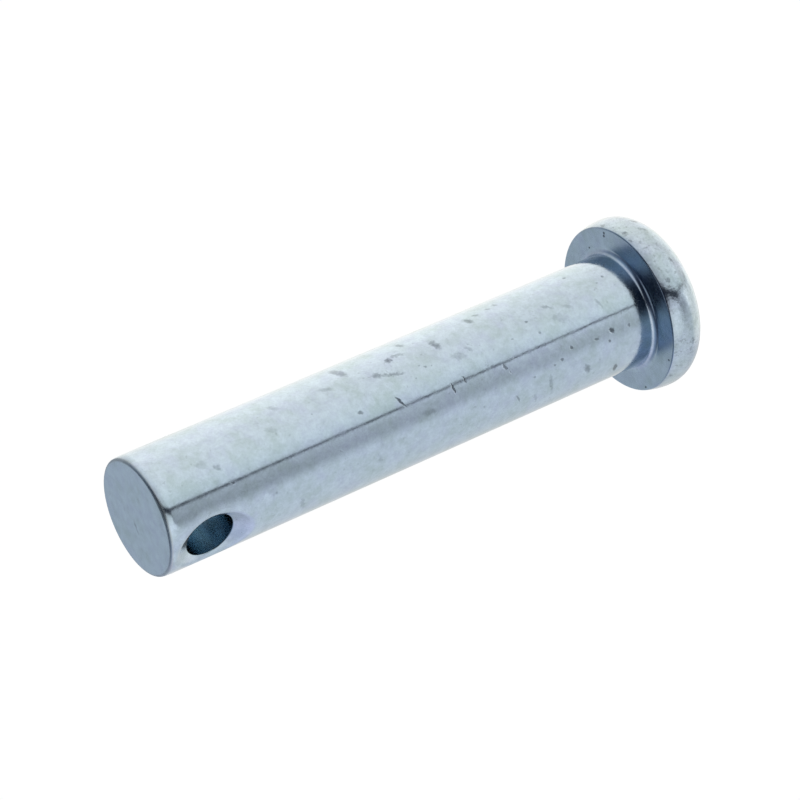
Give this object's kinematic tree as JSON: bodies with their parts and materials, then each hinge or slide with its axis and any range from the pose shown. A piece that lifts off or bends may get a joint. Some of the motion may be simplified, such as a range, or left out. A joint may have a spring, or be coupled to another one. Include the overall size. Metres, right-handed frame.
{
  "type": "clevis pin",
  "caption": "Headed clevis pin: a plain round shank with a barrel-sided flat head at one end and a countersunk cross hole for a retaining clip near the other.",
  "frame": {"origin": "centre of the head's flat outer face, which is the face that the pin stands on", "axes": "+Z along the shank from the head to the free end, X along the cross hole"},
  "size_m": [0.0242, 0.024, 0.0822],
  "materials": {
    "zinc_plated_steel": "bright zinc plating with a faint blue passivation, satin and lightly mottled"
  },
  "bodies": {
    "root": {"clevis_pin": "zinc_plated_steel"}
  },
  "joints": []
}
